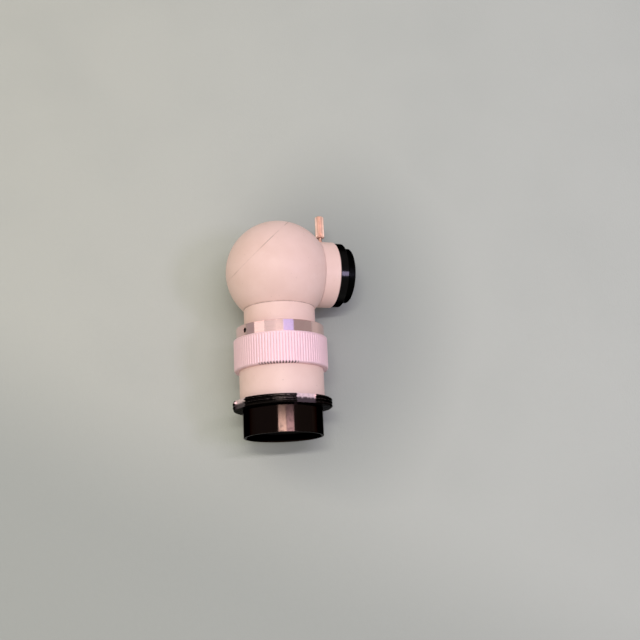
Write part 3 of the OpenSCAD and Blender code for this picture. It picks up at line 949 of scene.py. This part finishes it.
def nosepiece(skin, inner):
    """Barrel up to the lower face of the flange's rim, with a filter thread in its mouth."""
    low, high = TUBE.span("nosepiece")
    outer = TUBE.radii("nosepiece")[1]
    bore = TUBE.radii("nosepiece", high)[0]
    thread = mount("filter_thread")["dims"]
    mouth = thread["r_mm"] * MM
    end = low + thread["length_mm"] * MM
    shell = rounded([
        (low, mouth + FILTER_DEPTH, MOUTH_FILLET), (low, outer, NOSE_FILLET), (high, outer, 0),
        (high, bore, 0), (end, bore, 0), (end, mouth, 0),
    ], 8)

    def shape(angle):
        start = low + FILTER_LEAD
        wound = thread_points(-angle, start, end, FILTER_PITCH, mouth, mouth - FILTER_DEPTH, 0)
        return shell[:-1] + wound[::-1]

    made = turned("nosepiece_barrel", TUBE, shape)
    where = inside_of(TUBE, mouth - 2 * FILTER_DEPTH)
    dress(made, "focus_tube", ["nosepiece"], skin, inner, where)


# ---- Side port and lock screw ----


def shank_radius():
    """Radius of the lock screw's shank, read at its foot."""
    return SCREW.radii("lock_screw", SCREW.span("lock_screw")[0])[1]


LOCK_SEGMENTS = 40


def lock_hole(low, high):
    """Rod along the lock screw's line that clears its shank."""
    return rod_between("hole", SCREW, low, high, shank_radius() + NEARLY, LOCK_SEGMENTS)


COLLAR_FOOT_FILLET = 0.3 * MM
COLLAR_BEVEL = 0.6 * MM
COLLAR_FILLET = 0.15 * MM
COUNTERSINK = 0.35 * MM


def port_collar(skin, inner):
    low, high = PORT.span("port_collar")
    bore, outer = PORT.radii("port_collar")
    spigot = PORT.radii("port_collar", low)[1]
    profile = rounded([
        (low, bore, 0), (low, spigot, 0), (PORT_LAND, spigot, 0),
        (PORT_LAND, outer, COLLAR_FOOT_FILLET), (high - COLLAR_BEVEL, outer, COLLAR_FILLET),
        (high, outer - COLLAR_BEVEL, COLLAR_FILLET), (high, bore, 0),
    ])
    made = turned("port_collar_band", PORT, profile)
    rim = shank_radius()
    foot = outer - 2 * COUNTERSINK
    top = outer + COUNTERSINK
    cone = [(foot, 0), (foot, rim), (top, rim + 3 * COUNTERSINK), (top, 0)]
    holes = [
        lock_hole(bore - COUNTERSINK, top),
        turned("hole", SCREW, cone, around(LOCK_SEGMENTS)),
    ]
    combine(made, holes, "DIFFERENCE")
    where = inside_of(PORT, spigot)
    dress(made, "head", ["port_collar"], skin, inner, where)


RING_FOOT_SINK = 0.3 * MM
RING_FOOT_RISE = 0.35 * MM
RING_TOP_BEVEL = 0.5 * MM


def port_lock_ring(skin):
    low, high = PORT.span("port_lock_ring")
    bore, outer = PORT.radii("port_lock_ring")
    soft = RING_TOP_BEVEL / 2
    profile = rounded([
        (low, bore, 0), (low, outer - RING_FOOT_SINK, 0),
        (low + RING_FOOT_RISE, outer, COLLAR_FILLET), (high - RING_TOP_BEVEL, outer, soft),
        (high, outer - RING_TOP_BEVEL, soft), (high, bore, 0),
    ])
    made = turned("port_lock_band", PORT, profile)
    dress(made, "head", ["port_lock_ring"], skin)


SLEEVE_FILLET = 0.9 * MM
SOCKET_FILLET = 0.5 * MM
GROOVE_IN_SOCKET = 11 * MM
GROOVE_SINK = 0.3 * MM


def socket_sleeve(skin, inner):
    low, high = PORT.span("socket_sleeve")
    stop, wide = PORT.radii("socket_sleeve")
    outer = PORT.radii("port_lock_ring")[0]
    bore = socket["dims"]["r_mm"] * MM
    seat = high - socket["dims"]["length_mm"] * MM
    above = high - GROOVE_IN_SOCKET + GROOVE_SINK
    below = high - GROOVE_IN_SOCKET - GROOVE_SINK
    sunk = bore + GROOVE_SINK
    profile = rounded([
        (low, stop, 0), (low, wide, 0), (seat, wide, 0), (seat, outer, 0),
        (high, outer, SLEEVE_FILLET), (high, bore, SOCKET_FILLET),
        (above, bore, 0), (above, sunk, 0), (below, sunk, 0), (below, bore, 0),
        (seat, bore, 0), (seat, stop, 0),
    ], 6)
    made = turned("socket_sleeve_tube", PORT, profile)
    combine(made, [lock_hole(stop, wide + bore)], "DIFFERENCE")
    where = inside_of(PORT, bore + 2 * GROOVE_SINK)
    dress(made, "head", ["socket_sleeve"], skin, inner, where)


HEAD_RIBS = 22
RIB_STEPS = 6
RIB_DEPTH = 0.45 * MM
RIB_CREST = 0.25
LOCK_PITCH = 0.45 * MM
LOCK_THREAD_DEPTH = 0.22 * MM
LOCK_THREAD_BEVEL = 0.2 * MM
LOCK_NECK = 0.8 * MM
HEAD_RIM = 0.7 * MM
CROWN_HEIGHT = 0.9 * MM
CROWN_STEP = 0.35 * MM
RIB_FOOT = 0.5 * MM


def lock_screw(skin):
    low, high = SCREW.span("lock_screw")
    head_r = SCREW.radii("lock_screw", high)[1]
    shank = shank_radius()
    head_low = min(t for t, r in SCREW.places("lock_screw") if r > 1.5 * shank)
    root = shank - LOCK_THREAD_DEPTH
    neck = head_low - LOCK_NECK
    rim = head_r - HEAD_RIM
    shoulder = high - CROWN_HEIGHT
    crown = [
        (high - 0.3 * MM, rim + 0.1 * MM), (high - 0.05 * MM, rim - 0.3 * MM),
        (high, rim - 0.9 * MM), (high, 0),
    ]

    def shape(angle):
        wave = rib_wave(angle, HEAD_RIBS)
        rib = head_r - RIB_DEPTH * max(0.0, (wave - RIB_CREST) / (1 - RIB_CREST))
        points = [(low, 0), (low, root)]
        points += thread_points(
            angle, low + NEARLY, neck, LOCK_PITCH, root, shank, LOCK_THREAD_BEVEL
        )
        points += [(neck, root), (head_low, root), (head_low, rim)]
        points += [(head_low + 0.15 * MM, min(rim + 0.25 * MM, rib)), (head_low + RIB_FOOT, rib)]
        points += [(shoulder, rib), (shoulder + CROWN_STEP, min(rib, head_r - 0.2 * MM))]
        return points + crown

    made = turned("lock_screw_thumb", SCREW, shape, around(HEAD_RIBS * RIB_STEPS))
    dress(made, "lock_screw", ["lock_screw"], skin)


# ---- The table, the lights and the camera ----

TABLE_WARM = colour(0.486, 0.517, 0.468)
TABLE_COOL = colour(0.464, 0.502, 0.468)
# Colour of the painted shadow and painted front shade, and of the table's random darker patches.
TABLE_SHADE_AND_PATCHES = colour(0.360, 0.395, 0.370)
RIGHTWARD = (1, 0, 0)
FRONTWARD = (-0.45, -0.89, 0)
# Offset from the ball's centre to the middle of the painted shadow.
SHADOW_OFFSET = Vector((36 * MM, -27 * MM, 0))


def table_skin():
    """Pale grey-green bench top with a fine leathery grain.

    It is cooler to the right, and has painted shade in front and a painted shadow under the object.
    """
    skin = Skin("bench_top")
    grain = skin.noise(1.0 * MM, 3.0, 0.6, skin.scaled((1.0, 0.45, 1.0)))
    cloud = skin.patches(90 * MM, 3.0, 0.5, 0.35, 0.8, 0.0, 0.2)
    sideways = skin.remap(skin.along(BALL_CENTRE, RIGHTWARD), -180 * MM, 160 * MM)
    # Painted shade towards the front of the table.
    painted_front_shade = skin.remap(skin.along(BALL_CENTRE, FRONTWARD), 80 * MM, 200 * MM, 0.0, 0.85)
    # Painted shadow round the object, strongest under it and to its right.
    from_object = skin.length(skin.scaled((1.0, 0.65, 0.0), BALL_CENTRE + SHADOW_OFFSET))
    painted_shadow = skin.remap(from_object, 30 * MM, 105 * MM, 0.95, 0.0)
    darker = skin.larger(skin.larger(painted_front_shade, painted_shadow), cloud)
    base = skin.blend(darker, skin.blend(sideways, TABLE_WARM, TABLE_COOL), TABLE_SHADE_AND_PATCHES)
    skin.set(
        Base_Color=base,
        Roughness=skin.remap(grain, 0.3, 0.7, 0.6, 0.75),
        Specular_IOR_Level=0.25,
    )
    skin.bump((grain, 0.12 * MM))
    return skin.material


HALF_TABLE = 1.5


def table():
    """Flat top under the ball, the port's ring and the flange's rim, which all touch it."""
    flange_r = TUBE.radii("thread_flange")[1]
    along = BALL_CENTRE.y - rim_low()
    tilt = math.asin(BALL_R / math.hypot(along, flange_r)) - math.atan2(flange_r, along)
    up = Vector((0, math.sin(tilt), math.cos(tilt)))
    side = Vector((1, 0, 0))
    down_table = up.cross(side)
    middle = BALL_CENTRE - up * BALL_R
    corners = []
    for i, j in ((-1, -1), (1, -1), (1, 1), (-1, 1)):
        corners.append(middle + side * i * HALF_TABLE + down_table * j * HALF_TABLE)
    made = build("bench", corners, [(0, 1, 2, 3)])
    made.data.materials.append(table_skin())


LAMP_DISTANCE = 1.6


def lamp_side(low, high):
    """Middle of a range of degrees, in radians, and the length of lamp that fills the range."""
    length = 2 * LAMP_DISTANCE * math.tan(math.radians(high - low) / 2)
    return math.radians((low + high) / 2), length


def lamp(name, sideways, forward, radiance, tint):
    """Soft box over the table that fills a range of angles sideways and forward.

    They are in degrees, counted at the ball's centre from straight above it.
    """
    across, width = lamp_side(*sideways)
    along, height = lamp_side(*forward)
    light = bpy.data.lights.new(name, "AREA")
    light.shape = "RECTANGLE"
    light.size = width
    light.size_y = height
    light.energy = radiance * math.pi * width * height
    light.color = tint
    made = bpy.data.objects.new(name, light)
    bpy.context.scene.collection.objects.link(made)
    level = math.cos(along)
    back = Vector((math.sin(across) * level, math.sin(along), math.cos(across) * level))
    right = UP_TUBE.cross(back).normalized()
    made.location = BALL_CENTRE + back * LAMP_DISTANCE
    made.rotation_euler = Matrix((right, back.cross(right), back)).transposed().to_euler()


AMBIENT = colour(1.0, 0.96, 0.95)
AMBIENT_STRENGTH = 0.37


def lights():
    """A warm key above the nosepiece, cool boxes to its right, large weak fills, and weak strips.

    The polished band mirrors the strips.
    """
    lamp("key", (-11, 11), (2.8, 4.7), 71, (1.0, 0.93, 0.88))
    lamp("key_side", (11.5, 33), (2.8, 4.7), 41, (0.97, 0.84, 0.98))
    lamp("cool_right", (36.5, 43.5), (-14.5, -1), 19, (0.76, 0.66, 1.0))
    lamp("cool_side", (12, 38), (9, 14), 0.95, (0.35, 0.40, 1.0))
    lamp("soft_back", (-30, 20), (18, 34), 0.7, (1.0, 0.95, 0.92))
    lamp("soft_front", (-40, 30), (-52, -24), 0.55, (1.0, 0.93, 0.84))
    lamp("left_front", (-78, -36), (-48, -6), 0.64, (1.0, 0.84, 0.48))
    lamp("left_back", (-78, -36), (20, 60), 0.60, (1.0, 0.84, 0.52))
    lamp("strip_left", (-66, -38), (9, 14), 0.82, (1.0, 0.93, 0.88))
    lamp("strip_middle", (-38, 12), (9, 14), 0.48, (1.0, 0.97, 0.96))
    world = bpy.data.worlds.new("studio")
    world.use_nodes = True
    ground = world.node_tree.nodes["Background"]
    ground.inputs["Color"].default_value = AMBIENT
    ground.inputs["Strength"].default_value = AMBIENT_STRENGTH
    bpy.context.scene.world = world


LENS_MM = 58.5
SENSOR_MM = 36
CAMERA_OFFSET = Vector((0.0308, -0.1933, 0.6538))
CAMERA_DEGREES = (13.731, 1.037, -2.577)


def camera():
    made = bpy.data.objects.new("camera", bpy.data.cameras.new("camera"))
    made.data.lens = LENS_MM
    made.data.sensor_width = SENSOR_MM
    made.location = BALL_CENTRE + CAMERA_OFFSET
    made.rotation_euler = [math.radians(turn) for turn in CAMERA_DEGREES]
    bpy.context.scene.collection.objects.link(made)
    bpy.context.scene.camera = made


# ---- Everything together ----

POLISHED = colour(0.95, 0.66, 0.63)
POLISHED_SHADE = colour(0.84, 0.54, 0.52)
NICKEL = colour(0.96, 0.69, 0.575)
NICKEL_SHADE = colour(0.44, 0.28, 0.22)
STEEL = colour(0.86, 0.80, 0.79)
STEEL_SHADE = colour(0.60, 0.54, 0.53)
BRASS = colour(0.78, 0.56, 0.24)
BRASS_SHADE = colour(0.48, 0.31, 0.13)
NOSE_BLACK = colour(0.0168, 0.0106, 0.0090)
PORT_BLACK = colour(0.0150, 0.0145, 0.0145)
SLEEVE_BLACK = colour(0.0026, 0.0028, 0.0027)
THREAD_BLACK = colour(0.0210, 0.0168, 0.0156)
SMALL_PARTS_BLACK = colour(0.02, 0.02, 0.02)
FINE_LINES = 0.0006 * MM
PLAIN_LINES = 0.002 * MM
THREAD_WEAR = (TUBE.radii("thread_flange")[1], 0.25 * MM)

paint = paint_skin()
flat_black = flat_black_skin()
polished = metal_skin("polished_band", TUBE, POLISHED, POLISHED_SHADE, 0.10, FINE_LINES, 0.4)
knurled = knurl_skin()
gloss_tube = black_skin("gloss_black_nose", TUBE, 0.09, NOSE_BLACK)
gloss_port = black_skin("gloss_black_port", PORT, 0.13, PORT_BLACK)
satin_port = black_skin("satin_black_sleeve", PORT, 0.30, SLEEVE_BLACK)
thread_black = black_skin("worn_black_thread", TUBE, 0.26, THREAD_BLACK, THREAD_WEAR)
nickel = metal_skin("nickel_plate", SCREW, NICKEL, NICKEL_SHADE, 0.40, PLAIN_LINES, 0.5)
steel = metal_skin("screw_steel", TUBE, STEEL, STEEL_SHADE, 0.28, PLAIN_LINES)
brass = metal_skin("turned_brass", SCREW, BRASS, BRASS_SHADE, 0.24, PLAIN_LINES)
black_metal = black_skin("black_metal", TUBE, 0.45, SMALL_PARTS_BLACK)

ball_body(paint, flat_black)
ball_cap(paint, flat_black)
neck_tube(paint, flat_black)
stop_ring(polished)
focus_ring(knurled)
focus_tube(paint, flat_black)
thread_flange(thread_black, bare_notch_skin())
nosepiece(gloss_tube, flat_black)
port_collar(paint, flat_black)
port_lock_ring(gloss_port)
socket_sleeve(satin_port, flat_black)
lock_screw(nickel)

carried_over = {
    flat_black: ("light_baffle", "mirror_cell", "lens_cell", "lens_spacer", "ring_retainer"),
    black_metal: ("mirror_clips", "stop_ring_screws", "lens_ring"),
    steel: ("cell_screws", "clip_screws", "guide_screw"),
    mirror_skin(): ("mirror",),
    glass_skin(): ("lens_crown", "lens_flint"),
    washer_skin(): ("slip_washer_upper", "slip_washer_lower"),
    brass: ("lock_tip",),
}
for skin, names in carried_over.items():
    for name in names:
        for slot in frame["nodes"][name].material_slots:
            slot.material = skin

table()
lights()
camera()
bpy.context.scene.view_settings.view_transform = "Standard"
